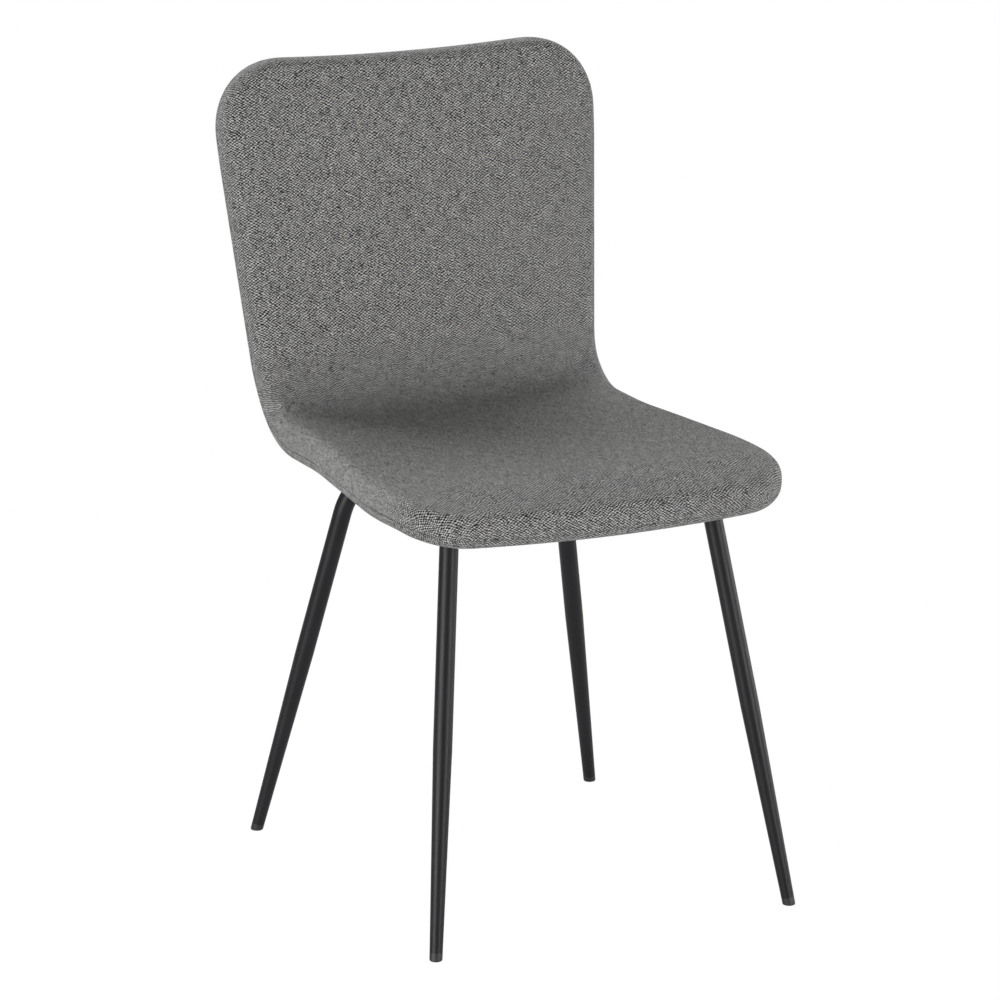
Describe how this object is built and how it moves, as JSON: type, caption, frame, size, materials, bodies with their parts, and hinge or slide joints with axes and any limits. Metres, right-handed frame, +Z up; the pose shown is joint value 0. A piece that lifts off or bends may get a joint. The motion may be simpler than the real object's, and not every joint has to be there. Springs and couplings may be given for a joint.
{
  "type": "dining chair",
  "caption": "Armless upholstered dining chair: a padded one-piece seat and back shell in grey woven cloth on four splayed, tapered black steel tube legs.",
  "frame": {"origin": "on the floor, on the plane of symmetry, at the middle of the chair's overall depth", "axes": "+Z up, the chair faces -Y, +X is the sitter's left"},
  "size_m": [0.4452, 0.5508, 0.8496],
  "materials": {
    "plywood": "plain rotary-cut veneer, unfinished",
    "foam": "open-cell polyurethane foam",
    "wadding": "thin polyester wadding",
    "upholstery_cloth": "heathered mid-grey coarse woven cloth of light and dark yarns",
    "dust_cloth": "black non-woven spunbond cloth",
    "staple_wire": "galvanised staple wire",
    "powder_coated_steel": "fine-textured satin black powder coat",
    "glide_plastic": "moulded black polyethylene",
    "zinc_steel": "bright zinc plating",
    "black_oxide_steel": "black oxide, satin"
  },
  "bodies": {
    "root": {"back_foam": "foam", "dust_cover": "dust_cloth", "dust_cover_staples": "staple_wire", "flat_washers": "zinc_steel", "frame_bolts": "black_oxide_steel", "front_cover": "upholstery_cloth", "front_cross_tube": "powder_coated_steel", "front_left_glide": "glide_plastic", "front_left_leg": "powder_coated_steel", "front_right_glide": "glide_plastic", "front_right_leg": "powder_coated_steel", "left_strap": "powder_coated_steel", "plywood_shell": "plywood", "rear_cover": "upholstery_cloth", "rear_cross_tube": "powder_coated_steel", "rear_left_glide": "glide_plastic", "rear_left_leg": "powder_coated_steel", "rear_right_glide": "glide_plastic", "rear_right_leg": "powder_coated_steel", "rear_wadding": "wadding", "right_strap": "powder_coated_steel", "seat_foam": "foam", "spring_washers": "zinc_steel", "tee_nuts": "zinc_steel"}
  },
  "joints": []
}
